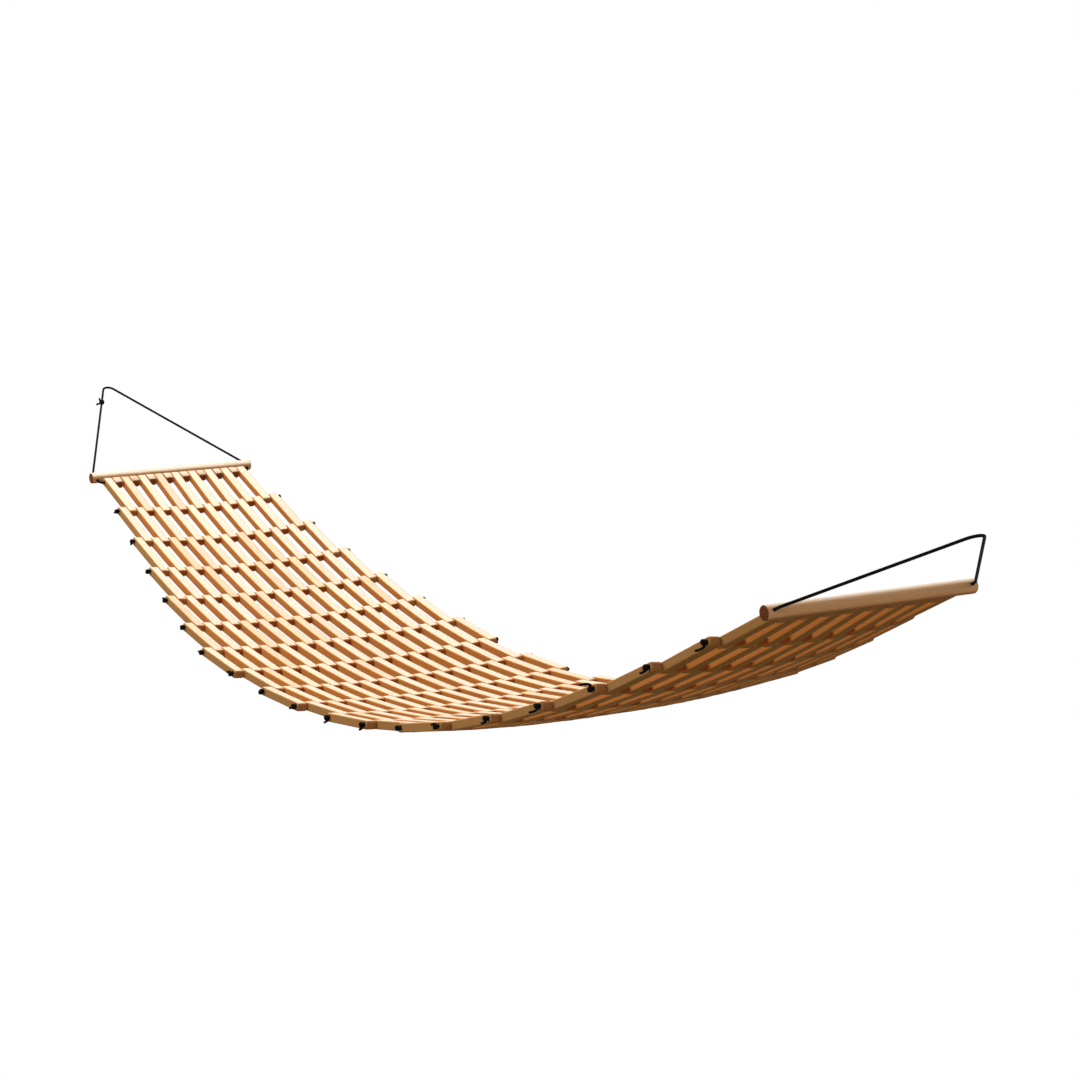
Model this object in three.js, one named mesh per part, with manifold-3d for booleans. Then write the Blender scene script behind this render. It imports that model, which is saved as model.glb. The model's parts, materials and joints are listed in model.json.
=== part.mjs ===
// A hanging hammock made of wooden slats, threaded row by row on cross cords.
// Millimetres, +Z up, +X from the left hook to the right one, +Y across.
// The origin is the centre of the left hook, round which the left rope's bight runs.

import * as THREE from 'three';
import { mergeVertices } from 'three/addons/utils/BufferGeometryUtils.js';
import Module from 'manifold-3d';

const wasm = await Module();
wasm.setup();

// Rows and slats. Neighbouring rows lie side by side at their ends, like a brick bond.
const rowCount = 19;
const endRowSlats = 9;
const widestRowSlats = 15;
const slatWidth = 22.4;
const slatThickness = 19;
const sideGap = 1.6;
const cordSpacing = 162;
const slatEnd = 12;
const noseChamfer = 5;
const blockReach = 17;

// Cross cords and their knots. The slats hide the cords, so these and their holes have few sides.
const cordDiameter = 6;
const cordClearance = 2;
const cordSides = 3;
const knotDiameter = 13;
const knotLength = 10;
const knotClearance = 0.4;

// Poles.
const poleDiameter = 28;
const poleEndMargin = 14;
const poleChamfer = 1.5;
const poleSwingGap = 0.8;
const poleSides = 16;
const poleBoreSides = 8;

// Suspension ropes: each is a loop from its hook through its pole and its end row.
const ropeDiameter = 6;
const ropeBoreClearance = 0.35;
const ropeThreadClearance = 1.1;
const ropeHoleSides = 4;
const ropeTurnRadius = 12;
const ropeTurnClearance = 0.9;
const ropeMouthRadius = 25;
const ropeMouthClearance = 1.5;
const ropeJointGap = 0.3;
const leftBightRadius = 16;
const leftHookReach = 454;
const rightBightRadius = 26;
const rightHookReach = 290;
const ropeStep = 24;
const ropeBendStep = Math.PI / 6;
const tieKnotDiameter = 11;
const tieKnotLength = 16;
const tieKnotFromBight = 75;

// The rest shape: a chain of rows, as heavy as their slats, hanging between two hooks. Across
// the bed it is a cradle: the middle of a cord hangs below its ends, but straight at a pole.
const endRowSlope = THREE.MathUtils.degToRad(25);
const cradleSag = 16;
const cordsToFullSag = 1.2;

const quarter = Math.PI / 2;
const columnPitch = slatWidth + sideGap;
const poleRadius = poleDiameter / 2;
const noseFlat = slatThickness / 2 - noseChamfer;
const slatSwing = Math.max(
  Math.hypot(slatEnd, noseFlat),
  Math.hypot(slatEnd - noseChamfer, slatThickness / 2));
const poleOffset = slatSwing + poleSwingGap + poleRadius;

const planedWood = { roughness: 0.62, metalness: 0 };
const slatWood = { color: '#d9a468', ...planedWood };
const blockWood = { color: '#c9905a', ...planedWood };
const poleWood = { color: '#c99a72', ...planedWood };
const cordage = { color: '#1a1817', roughness: 0.85, metalness: 0 };

function named(geometry, name, look) {
  const mesh = new THREE.Mesh(geometry, new THREE.MeshStandardMaterial(look));
  mesh.name = name;
  return mesh;
}

function toSolid(geometry) {
  const bare = geometry.clone();
  bare.deleteAttribute('normal');
  bare.deleteAttribute('uv');
  const merged = mergeVertices(bare, 1e-4);
  return new wasm.Manifold(new wasm.Mesh({
    numProp: 3,
    vertProperties: new Float32Array(merged.attributes.position.array),
    triVerts: new Uint32Array(merged.index.array),
  }));
}

function toGeometry(solid) {
  const mesh = solid.getMesh();
  const geometry = new THREE.BufferGeometry();
  geometry.setAttribute('position', new THREE.BufferAttribute(mesh.vertProperties, 3));
  geometry.setIndex(new THREE.BufferAttribute(mesh.triVerts, 1));
  return geometry;
}

// Slat counts: one more in each row away from a pole, then two counts in turn.
function slatsInRow(row) {
  const fromPole = Math.min(row, rowCount + 1 - row);
  const wanted = Math.min(endRowSlats - 1 + fromPole, widestRowSlats);
  const outOfBond = (wanted + endRowSlats - 1 + row) % 2;
  return wanted - outOfBond;
}

function columnsOf(count) {
  return Array.from({ length: count }, (_, i) => (2 * i - (count - 1)) * columnPitch);
}

// A hanging chain: the tangent of a row's slope grows with the slats between it and the middle.
function hangingSlopes() {
  const counts = Array.from({ length: rowCount }, (_, i) => slatsInRow(i + 1));
  const total = counts.reduce((sum, count) => sum + count, 0);
  let passed = 0;
  const loads = counts.map((count) => {
    const load = passed + count / 2 - total / 2;
    passed += count;
    return load;
  });
  const pull = Math.tan(endRowSlope) / -loads[0];
  return {
    rows: loads.map((load) => Math.atan(pull * load)),
    rope: Math.atan(pull * total / 2),
  };
}

function alongSlope(point, slope, distance) {
  const step = new THREE.Vector3(Math.cos(slope), 0, Math.sin(slope));
  return point.clone().addScaledVector(step, distance);
}

// The lines that the rows turn on, numbered from 0 at the left pole, and the way up out of the
// bed there. A cord hangs half of its sag below its line and rises half of it above.
function cordLines(start, slopes) {
  const places = [start];
  slopes.forEach((slope, i) => places.push(alongSlope(places[i], slope, cordSpacing)));
  return places.map((place, i) => {
    const slope = (slopes[Math.max(i - 1, 0)] + slopes[Math.min(i, rowCount - 1)]) / 2;
    return { place, normal: new THREE.Vector3(-Math.sin(slope), 0, Math.cos(slope)) };
  });
}

function outerColumnAt(cord) {
  const left = slatsInRow(Math.max(cord, 1));
  const right = slatsInRow(Math.min(cord + 1, rowCount));
  return (Math.max(left, right) - 1) * columnPitch;
}

function sagOf(cord) {
  return cradleSag * Math.min(cord / cordsToFullSag, (rowCount - cord) / cordsToFullSag, 1);
}

// Where a cord passes a column, and the way it runs there: a parabola between its ends.
function cordAt(cord, y) {
  const { place, normal } = lines[cord];
  const outer = outerColumnAt(cord);
  const point = place.clone().addScaledVector(normal, sagOf(cord) * ((y / outer) ** 2 - 0.5));
  point.y += y;
  const way = new THREE.Vector3(0, 1, 0).addScaledVector(normal, 2 * sagOf(cord) * y / outer ** 2);
  return { point, way: way.normalize() };
}

// A slat hangs between two cords: X along it from the first one, Y across, as the cords run.
function slatPlace(row, y) {
  const from = cordAt(row - 1, y);
  const to = cordAt(row, y);
  const along = to.point.clone().sub(from.point).normalize();
  const across = from.way.clone().add(to.way);
  across.addScaledVector(along, -across.dot(along)).normalize();
  const start = from.point.clone().lerp(to.point, 0.5).addScaledVector(along, -cordSpacing / 2);
  const up = along.clone().cross(across);
  return new THREE.Matrix4().makeBasis(along, across, up).setPosition(start);
}

// A hole with flat sides, each as far from its middle as the given clearance asks.
function holeAt(x, flatDistance, sides) {
  const corner = flatDistance / Math.cos(Math.PI / sides);
  const corners = Array.from({ length: sides }, (_, i) => {
    const turn = 2 * Math.PI * i / sides;
    return new THREE.Vector2(x + corner * Math.sin(turn), corner * Math.cos(turn));
  });
  return new THREE.Path(corners);
}

function cordHole(x) {
  const cordFlat = cordDiameter / 2 * Math.cos(Math.PI / cordSides);
  return holeAt(x, cordFlat + cordClearance, cordSides);
}

function ropeHole(x) {
  return holeAt(x, ropeDiameter / 2 + ropeThreadClearance, ropeHoleSides);
}

// The side of a board that lies along X. Its ends are rounded off, so that it can swing at a
// pole; the many boards of the fused rows leave that out, to have fewer faces.
function boardOutline(start, end, nose) {
  const half = slatThickness / 2;
  const flat = half - nose;
  const square = [[start, -half], [end, -half], [end, half], [start, half]];
  const rounded = [
    [start, -flat], [start + nose, -half], [end - nose, -half], [end, -flat],
    [end, flat], [end - nose, half], [start + nose, half], [start, flat],
  ];
  const corners = nose > 0 ? rounded : square;
  return new THREE.Shape(corners.map(([x, y]) => new THREE.Vector2(x, y)));
}

function board(start, end, holes, nose) {
  const side = boardOutline(start, end, nose);
  side.holes = holes;
  const geometry = new THREE.ExtrudeGeometry(side, { depth: slatWidth, bevelEnabled: false });
  return geometry.rotateX(quarter).translate(0, slatWidth / 2, 0);
}

// A solid along Y, turned to lie along a way, level with its row, and moved to a point.
function laidAlong(geometry, point, way, row) {
  const along = lines[row].place.clone().sub(lines[row - 1].place);
  along.addScaledVector(way, -along.dot(way)).normalize();
  const place = new THREE.Matrix4().makeBasis(along, way, along.clone().cross(way));
  return toSolid(geometry).transform(place.setPosition(point).elements);
}

// A cross cord, straight from slat to slat of the row that carries it, with its two knots.
function cordWithKnots(cord, row) {
  const radius = cordDiameter / 2;
  const outer = outerColumnAt(cord);
  const pieces = [];
  const ends = [-1, 1].map((side) => {
    const { point, way } = cordAt(cord, side * outer);
    const toKnot = slatWidth / 2 + knotClearance + knotLength / 2;
    const place = point.addScaledVector(way, side * toKnot);
    const knot = new THREE.SphereGeometry(knotDiameter / 2, 6, 2);
    pieces.push(laidAlong(knot.scale(1, knotLength / knotDiameter, 1), place, way, row));
    return place;
  });
  const stops = columnsOf(slatsInRow(row)).map((y) => cordAt(cord, y).point);
  const route = [ends[0], ...stops, ends[1]];
  route.slice(1).forEach((stop, i) => {
    const step = stop.clone().sub(route[i]);
    const length = step.length();
    const geometry = new THREE.CylinderGeometry(radius, radius, length, cordSides);
    pieces.push(laidAlong(geometry, route[i].clone().lerp(stop, 0.5), step.normalize(), row));
  });
  return pieces;
}

// Rows left of the middle carry the cord on their left, rows right of it the one on their
// right, and the middle row carries both.
const middleRow = Math.ceil(rowCount / 2);

function rowSolid(row) {
  const carriesLeft = row <= middleRow;
  const carriesRight = row >= middleRow;
  const holes = [];
  if (!carriesLeft) holes.push(cordHole(0));
  if (!carriesRight) holes.push(cordHole(cordSpacing));
  const slat = toSolid(board(-slatEnd, cordSpacing + slatEnd, holes, 0));
  const pieces = columnsOf(slatsInRow(row)).map(
    (y) => slat.transform(slatPlace(row, y).elements));
  if (carriesLeft) pieces.push(...cordWithKnots(row - 1, row));
  if (carriesRight) pieces.push(...cordWithKnots(row, row));
  return toGeometry(pieces.reduce((whole, piece) => whole.add(piece)));
}

// A route of straight legs and bends, in steps that fit each of them.
class RopeRoute extends THREE.Curve {
  constructor(path, legStep) {
    super();
    this.parts = path.curves.map((curve) => {
      const turn = curve.isEllipseCurve ? Math.abs(curve.aEndAngle - curve.aStartAngle) : 0;
      const steps = turn > 0 ? turn / ropeBendStep : curve.getLength() / legStep;
      return { curve, steps: Math.max(1, Math.round(steps)) };
    });
    this.steps = this.parts.reduce((sum, part) => sum + part.steps, 0);
  }

  getPoint(t) {
    let ahead = t * this.steps;
    let i = 0;
    while (i < this.parts.length - 1 && ahead > this.parts[i].steps) {
      ahead -= this.parts[i].steps;
      i += 1;
    }
    const { x, y } = this.parts[i].curve.getPoint(ahead / this.parts[i].steps);
    return new THREE.Vector3(x, y, 0);
  }

  // Even steps in t stay as they are, instead of being spread by length.
  getUtoTmapping(u) {
    return u;
  }
}

function ropeTube(path, sides, legStep) {
  const corners = Array.from({ length: sides }, (_, i) => {
    const turn = 2 * Math.PI * i / sides;
    return new THREE.Vector2(Math.cos(turn), Math.sin(turn)).multiplyScalar(ropeDiameter / 2);
  });
  const route = new RopeRoute(path, legStep);
  const options = { extrudePath: route, steps: route.steps };
  return new THREE.ExtrudeGeometry(new THREE.Shape(corners), options);
}

// One end of the hammock, seen in the plane of its rope: the local origin is the line on which
// the end row turns, +X points to the hook. The legs lean in from the pole to the hook.
function hangerPlan(hookReach, bightRadius, row) {
  const outerSide = (slatsInRow(row) - 1) * columnPitch + slatWidth / 2;
  const runHalf = outerSide + ropeTurnClearance;
  const holeY = runHalf + ropeTurnRadius;
  const mouthX = poleOffset + poleRadius + ropeMouthClearance;
  const mouthY = holeY - ropeMouthRadius;
  const hookX = poleOffset + hookReach;
  const between = Math.hypot(hookX - mouthX, mouthY);
  const narrowing = Math.asin((ropeMouthRadius - bightRadius) / between);
  const lean = Math.atan2(mouthY, hookX - mouthX) + narrowing;
  return { runHalf, holeY, mouthX, mouthY, hookX, bightRadius, lean };
}

// The free part of the loop: out of the pole, round the hook and back to the pole.
function ropeSpan(plan) {
  const start = poleOffset + ropeJointGap / 2;
  const onLeg = quarter - plan.lean;
  const path = new THREE.Path();
  path.moveTo(start, plan.holeY);
  path.absarc(plan.mouthX, plan.mouthY, ropeMouthRadius, quarter, onLeg, true);
  path.absarc(plan.hookX, 0, plan.bightRadius, onLeg, -onLeg, true);
  path.absarc(plan.mouthX, -plan.mouthY, ropeMouthRadius, -onLeg, -quarter, true);
  path.lineTo(start, -plan.holeY);
  return ropeTube(path, 8, ropeStep);
}

// The held part of the loop: from the pole round into the end row's holes and back out.
function ropeRun(plan) {
  const start = poleOffset - ropeJointGap / 2;
  const path = new THREE.Path();
  path.moveTo(start, plan.holeY);
  path.absarc(ropeTurnRadius, plan.runHalf, ropeTurnRadius, quarter, 2 * quarter);
  path.absarc(ropeTurnRadius, -plan.runHalf, ropeTurnRadius, -2 * quarter, -quarter);
  path.lineTo(start, -plan.holeY);
  return ropeTube(path, 6, Infinity);
}

// The knot that closes the left rope's loop, on the leg towards -Y.
function tieKnot(plan) {
  const knot = new THREE.SphereGeometry(tieKnotDiameter / 2, 8, 4);
  knot.scale(1, tieKnotLength / tieKnotDiameter, 1).rotateZ(plan.lean - quarter);
  const outwards = new THREE.Vector2(Math.sin(plan.lean), -Math.cos(plan.lean));
  const toPole = new THREE.Vector2(-Math.cos(plan.lean), -Math.sin(plan.lean));
  const place = new THREE.Vector2(plan.hookX, 0);
  place.addScaledVector(outwards, plan.bightRadius).addScaledVector(toPole, tieKnotFromBight);
  return knot.translate(place.x, place.y, 0);
}

function pole(plan) {
  const half = plan.holeY + poleEndMargin;
  const profile = [
    new THREE.Vector2(0, -half),
    new THREE.Vector2(poleRadius - poleChamfer, -half),
    new THREE.Vector2(poleRadius, poleChamfer - half),
    new THREE.Vector2(poleRadius, half - poleChamfer),
    new THREE.Vector2(poleRadius - poleChamfer, half),
    new THREE.Vector2(0, half),
  ];
  let solid = toSolid(new THREE.LatheGeometry(profile, poleSides));
  const radius = (ropeDiameter / 2 + ropeBoreClearance) / Math.cos(Math.PI / poleBoreSides);
  for (const side of [-1, 1]) {
    const bore = new THREE.CylinderGeometry(radius, radius, 2 * poleDiameter, poleBoreSides);
    bore.rotateZ(quarter).translate(0, side * plan.holeY, 0);
    solid = solid.subtract(toSolid(bore));
  }
  return toGeometry(solid.translate([poleOffset, 0, 0]));
}

function hanger(side, plan, rope) {
  const group = new THREE.Group();
  group.add(named(rope, `${side}_rope`, cordage));
  group.add(named(ropeRun(plan), `${side}_rope_run`, cordage));
  group.add(named(pole(plan), `${side}_pole`, poleWood));
  return group;
}

// An end row: loose slats with a short block between each two, all threaded on the rope. The
// rope runs straight there, so the blocks lie level with it and between the slats.
function endRow(side, row, ropeX, cordX) {
  const group = new THREE.Group();
  const inward = Math.sign(cordX - ropeX);
  const holes = [ropeHole(ropeX), cordHole(cordX)];
  const slat = board(-slatEnd, cordSpacing + slatEnd, holes, noseChamfer);
  const edges = [ropeX - inward * slatEnd, ropeX + inward * blockReach];
  const block = board(Math.min(...edges), Math.max(...edges), [ropeHole(ropeX)], noseChamfer);
  columnsOf(slatsInRow(row)).forEach((y, i) => {
    const geometry = slat.clone().applyMatrix4(slatPlace(row, y));
    group.add(named(geometry, `${side}_slat_${i + 1}`, slatWood));
  });
  const level = new THREE.Matrix4().makeRotationY(-slopes.rows[row - 1]);
  level.setPosition(lines[row - 1].place);
  columnsOf(slatsInRow(row) - 1).forEach((y, i) => {
    const geometry = block.clone().translate(0, y, 0).applyMatrix4(level);
    group.add(named(geometry, `${side}_block_${i + 1}`, blockWood));
  });
  return group;
}

function rowGroup(row) {
  if (row === 1) return endRow('left', row, 0, cordSpacing);
  if (row === rowCount) return endRow('right', row, cordSpacing, 0);
  const name = `row_${String(row).padStart(2, '0')}`;
  return new THREE.Group().add(named(rowSolid(row), name, slatWood));
}

function placed(group, point, turn) {
  group.position.copy(point);
  group.rotation.y = turn;
  return group;
}

// From the left hook down to the first row, row by row to the last, and up to the right hook.
const slopes = hangingSlopes();
const leftPlan = hangerPlan(leftHookReach, leftBightRadius, 1);
const rightPlan = hangerPlan(rightHookReach, rightBightRadius, rowCount);
const leftRope = toGeometry(toSolid(ropeSpan(leftPlan)).add(toSolid(tieKnot(leftPlan))));
const rightRope = ropeSpan(rightPlan);
const lines = cordLines(
  alongSlope(new THREE.Vector3(), -slopes.rope, leftPlan.hookX), slopes.rows);

const hammock = new THREE.Group();
const leftHanger = hanger('left', leftPlan, leftRope);
hammock.add(placed(leftHanger, lines[0].place, Math.PI + slopes.rope));
slopes.rows.forEach((_, i) => hammock.add(rowGroup(i + 1)));
const rightHanger = hanger('right', rightPlan, rightRope);
hammock.add(placed(rightHanger, lines[rowCount].place, -slopes.rope));

export default hammock;
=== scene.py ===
# %% [markdown]
# # A hammock of wooden slats
#
# The real thing is 240 planed slats, threaded row by row on black cross cords and hung by a
# rope loop at each end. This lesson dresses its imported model: each step says what a piece is,
# how it could be made, and why it is made this way. Lengths are metres, unless a name ends in
# `_mm`, and +X runs from the left hook to the right one, +Y across, +Z up.

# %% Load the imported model
import json
import math
import random
import bmesh
import bpy
from mathutils import Matrix, Vector


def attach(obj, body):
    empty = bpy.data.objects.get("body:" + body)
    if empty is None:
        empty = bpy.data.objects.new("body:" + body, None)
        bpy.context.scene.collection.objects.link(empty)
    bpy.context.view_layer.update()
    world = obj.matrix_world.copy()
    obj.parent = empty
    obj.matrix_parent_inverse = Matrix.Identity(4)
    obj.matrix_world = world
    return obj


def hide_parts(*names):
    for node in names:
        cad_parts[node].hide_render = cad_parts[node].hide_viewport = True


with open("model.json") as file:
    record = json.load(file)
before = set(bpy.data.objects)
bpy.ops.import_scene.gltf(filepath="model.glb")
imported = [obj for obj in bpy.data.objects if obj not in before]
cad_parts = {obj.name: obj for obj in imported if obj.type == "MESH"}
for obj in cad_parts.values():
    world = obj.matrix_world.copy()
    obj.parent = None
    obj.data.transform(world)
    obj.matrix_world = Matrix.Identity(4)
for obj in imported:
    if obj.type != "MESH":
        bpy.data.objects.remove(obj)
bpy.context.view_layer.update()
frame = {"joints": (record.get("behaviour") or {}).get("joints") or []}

# %% [markdown]
# ## The plan of the rows
#
# Every slat hangs between two cross cords, and every cord is a joint of the model. So the
# joints' own places give each row's start and slope, and nothing has to be fitted by eye.
# Rows get one slat more with each step away from a pole, then two counts in turn, which keeps
# the slats side by side like a brick bond.
#
# Across its width the bed is a cradle: a cord hangs in a shallow curve between its knots, 16 mm
# deep, except at the poles, which hold the end rows straight. Half of the depth lies below the
# joint's line and half above it, and each slat tilts with the cords that it hangs between.

# %% The rows' places and counts
MM = 0.001
cord_places = [Vector(joint["pos_m"]) for joint in frame["joints"]]
row_count = len(cord_places) - 1
slat_width, slat_thickness, slat_end, cord_spacing = 22.4 * MM, 19 * MM, 12 * MM, 162 * MM
cradle_sag, cords_to_full_sag = 16 * MM, 1.2
column_pitch = 24 * MM  # a slat and its gap; a row's own slats lie two of these apart


def slats_in_row(row):
    """9 beside a pole, one more with each step away, then 15 and 14 in turn."""
    from_pole = min(row, row_count + 1 - row)
    wanted = min(8 + from_pole, 15)
    return wanted - (wanted + 8 + row) % 2


def columns(count):
    """The places across the bed of a row's slats."""
    return [(2 * i - (count - 1)) * column_pitch for i in range(count)]


def frame_at(place, along, across=Vector((0, 1, 0))):
    """A frame at a place with its X along and its Y across."""
    return (Matrix.Translation(place)
            @ Matrix((along, across, along.cross(across))).transposed().to_4x4())


row_frames = {row: frame_at(cord_places[row - 1],
                            (cord_places[row] - cord_places[row - 1]).normalized())
              for row in range(1, row_count + 1)}


def outer_column(cord):
    """How far out the outermost slats lie that a cord goes through."""
    counts = [slats_in_row(row) for row in (cord, cord + 1) if row in row_frames]
    return (max(counts) - 1) * column_pitch


def cord_at(cord, y):
    """Where a cross cord passes a column, and the way it runs there."""
    first, last = row_frames[max(cord, 1)], row_frames[min(cord + 1, row_count)]
    normal = (first.col[2].xyz + last.col[2].xyz).normalized()
    sag = cradle_sag * min(cord / cords_to_full_sag, (row_count - cord) / cords_to_full_sag, 1)
    share = y / outer_column(cord)
    point = cord_places[cord] + Vector((0, y, 0)) + normal * sag * (share ** 2 - 0.5)
    return point, (Vector((0, 1, 0)) + normal * 2 * sag * share / outer_column(cord)).normalized()


def slat_frame(row, y):
    """A frame for the slat of a row at a column: X from its first cord to its second."""
    (start, start_way), (end, end_way) = cord_at(row - 1, y), cord_at(row, y)
    along = (end - start).normalized()
    across = start_way + end_way
    across = (across - along * across.dot(along)).normalized()
    return frame_at((start + end) / 2 - along * cord_spacing / 2, along, across)


print([slats_in_row(row) for row in row_frames], "slats in the rows")

# %% [markdown]
# ## Camera
#
# The camera could be moved by hand until the picture fits. Here it comes from the places of 61
# points, such as knots and pole ends: a least-squares fit gave its angles, its distance, its
# focal length and a small shift of the lens.

# %% Place the camera
camera_azimuth, camera_elevation, camera_roll = -1.03311, 0.13002, -0.03044
camera_target = Vector((2.24434, 0.00033, -0.20952))
camera_distance, focal_px, picture_px = 5.67423, 2699.25, 1080
shift_right_px, shift_down_px = -15.55, 1.22

forward = Vector((math.sin(camera_azimuth) * math.cos(camera_elevation),
                  math.cos(camera_azimuth) * math.cos(camera_elevation),
                  -math.sin(camera_elevation)))
level_right = Vector((math.cos(camera_azimuth), -math.sin(camera_azimuth), 0))
level_up = level_right.cross(forward)
right = level_right * math.cos(camera_roll) + level_up * math.sin(camera_roll)
up = level_up * math.cos(camera_roll) - level_right * math.sin(camera_roll)

camera_data = bpy.data.cameras.new("camera")
camera_data.sensor_width = 36
camera_data.lens = camera_data.sensor_width * focal_px / picture_px
camera_data.shift_x = -shift_right_px / picture_px
camera_data.shift_y = shift_down_px / picture_px
camera_data.clip_end = 200
camera = bpy.data.objects.new("camera", camera_data)
camera.matrix_world = (Matrix.Translation(camera_target - camera_distance * forward)
                       @ Matrix((right, up, -forward)).transposed().to_4x4())
bpy.context.scene.collection.objects.link(camera)
bpy.context.scene.camera = camera
print("camera lens", round(camera_data.lens, 2), "mm at", camera.location[:])

# %% [markdown]
# ## Colours and nodes
#
# Colours are written as people read them, in sRGB hex, and turned to the linear values that a
# shader works in. One small function adds any node with its settings and links, and another
# mixes two colours.

# %% Helpers for materials
def linear(hex_colour):
    """An sRGB hex colour as linear red, green, blue and 1."""
    def channel(part):
        c = int(part, 16) / 255
        return c / 12.92 if c <= 0.04045 else ((c + 0.055) / 1.055) ** 2.4
    return tuple(channel(hex_colour[i:i + 2]) for i in (1, 3, 5)) + (1.0,)


def add(tree, kind, inputs=None, **settings):
    """Adds a node; inputs go by socket name or number, and may be values or other sockets."""
    node = tree.nodes.new(kind)
    for name, value in settings.items():
        setattr(node, name, value)
    for key, value in (inputs or {}).items():
        if isinstance(value, bpy.types.NodeSocket):
            tree.links.new(value, node.inputs[key])
        else:
            node.inputs[key].default_value = value
    return node


def mixed(tree, factor, first, second):
    """Mixes two colours; each may be a value or another socket, and so may the factor."""
    return add(tree, "ShaderNodeMix", {0: factor, 6: first, 7: second},
               data_type="RGBA").outputs[2]


def new_material(name):
    material = bpy.data.materials.new(name)
    material.use_nodes = True
    material.node_tree.nodes.clear()
    return material, material.node_tree


print("a mid grey #808080 is", round(linear("#808080")[0], 3), "linear")

# %% [markdown]
# ## Planed pine, oiled
#
# The slats are pale planed softwood. Growth rings show as long lines on the faces and as arcs on
# the ends, so the pattern is a solid one, cut by the board, and not a picture laid on each face.
# Each board carries four things for it: the place within the board (metres, X along the grain), the
# way that each face looks, one number that gives the board its own tone and its own piece of the
# tree, and how far a face lies on the hammock's outside.
#
# Faces that look up are painted pale cream: partly weather bleach, partly painted light of the sky
# on them. The sides are painted a deeper oil orange, partly painted shade and bounce between the
# slats. The undersides are painted a dark golden olive as painted shade, with an olive cast of
# bounced light, and the end grain a deep red, as it soaks up most oil, darker still as painted
# shade in the openings.
# The outermost sides and ends are mixed towards a greyer tan; the lighter outer ends are painted
# light beside the shaded inner ends.

# %% The wood material
latewood_hex, streak_hex, fibre_hex, outer_tan_hex = "#b97a3e", "#c98f55", "#8a5a2e", "#ba9261"


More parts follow.
